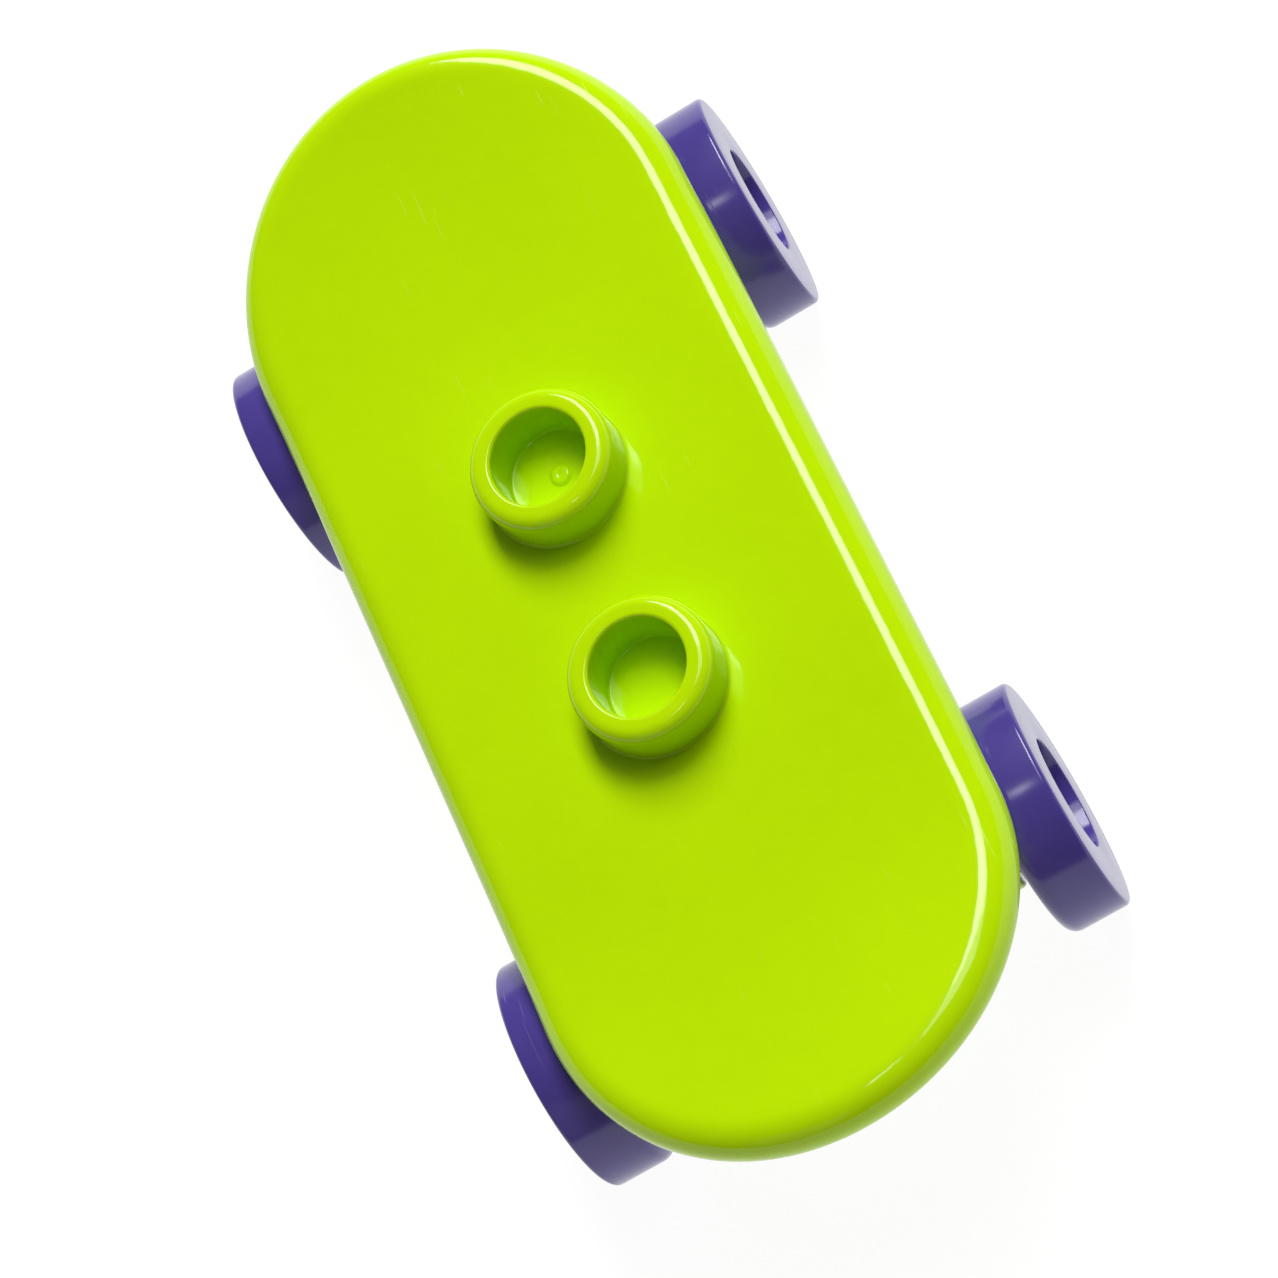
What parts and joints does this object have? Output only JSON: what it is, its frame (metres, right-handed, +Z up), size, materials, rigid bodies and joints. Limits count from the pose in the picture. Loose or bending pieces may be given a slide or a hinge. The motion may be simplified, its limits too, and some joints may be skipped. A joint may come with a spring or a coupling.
{
  "type": "toy figure skateboard",
  "caption": "Small moulded skateboard for a toy figure, with round upturned ends, hollow coupling studs on its deck and snap-in wheels that roll.",
  "frame": {"origin": "on the floor, under the centre of the deck", "axes": "+X along the deck's length towards the front wheels, +Y to the left side along the axles, +Z up"},
  "size_m": [0.0398, 0.0184, 0.0109],
  "materials": {
    "deck_plastic": "smooth glossy moulded plastic, lime green",
    "wheel_plastic": "smooth glossy moulded plastic, dark violet"
  },
  "bodies": {
    "board": {"deck": "deck_plastic"},
    "front_left_wheel": {"wheel_front_left": "wheel_plastic"},
    "front_right_wheel": {"wheel_front_right": "wheel_plastic"},
    "rear_left_wheel": {"wheel_rear_left": "wheel_plastic"},
    "rear_right_wheel": {"wheel_rear_right": "wheel_plastic"}
  },
  "joints": [
    {"name": "front_left_axle", "type": "hinge", "parent": "board", "child": "front_left_wheel", "pos_m": [0.0118, 0.00815, 0.0039], "axis": [0, 1, 0], "continuous": true},
    {"name": "front_right_axle", "type": "hinge", "parent": "board", "child": "front_right_wheel", "pos_m": [0.0118, -0.00815, 0.0039], "axis": [0, 1, 0], "continuous": true},
    {"name": "rear_left_axle", "type": "hinge", "parent": "board", "child": "rear_left_wheel", "pos_m": [-0.0118, 0.00815, 0.0039], "axis": [0, 1, 0], "continuous": true},
    {"name": "rear_right_axle", "type": "hinge", "parent": "board", "child": "rear_right_wheel", "pos_m": [-0.0118, -0.00815, 0.0039], "axis": [0, 1, 0], "continuous": true}
  ]
}
